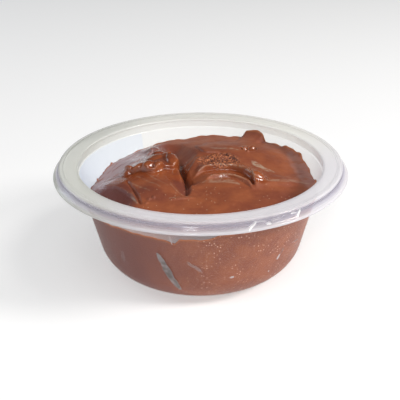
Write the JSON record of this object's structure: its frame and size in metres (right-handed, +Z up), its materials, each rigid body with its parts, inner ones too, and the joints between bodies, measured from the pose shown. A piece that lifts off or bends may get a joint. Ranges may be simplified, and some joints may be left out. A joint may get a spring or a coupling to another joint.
{
  "type": "chocolate mousse in a clear tub",
  "caption": "Chocolate mousse with a folded, lobed top, filling a shallow round clear plastic tub that has a wide stepped rim.",
  "frame": {"origin": "middle of the tub's flat base, on the surface that it stands on", "axes": "+Z up through the tub's rim, -Y towards the shown front, +X to its right"},
  "size_m": [0.1178, 0.1178, 0.0454],
  "materials": {
    "clear_plastic": "thin milky polypropylene sheet, satin, see-through",
    "chocolate_mousse": "food: dense chocolate mousse, softly glossy, with fine bubbles"
  },
  "bodies": {
    "root": {"tub": "clear_plastic", "mousse": "chocolate_mousse"}
  },
  "joints": []
}
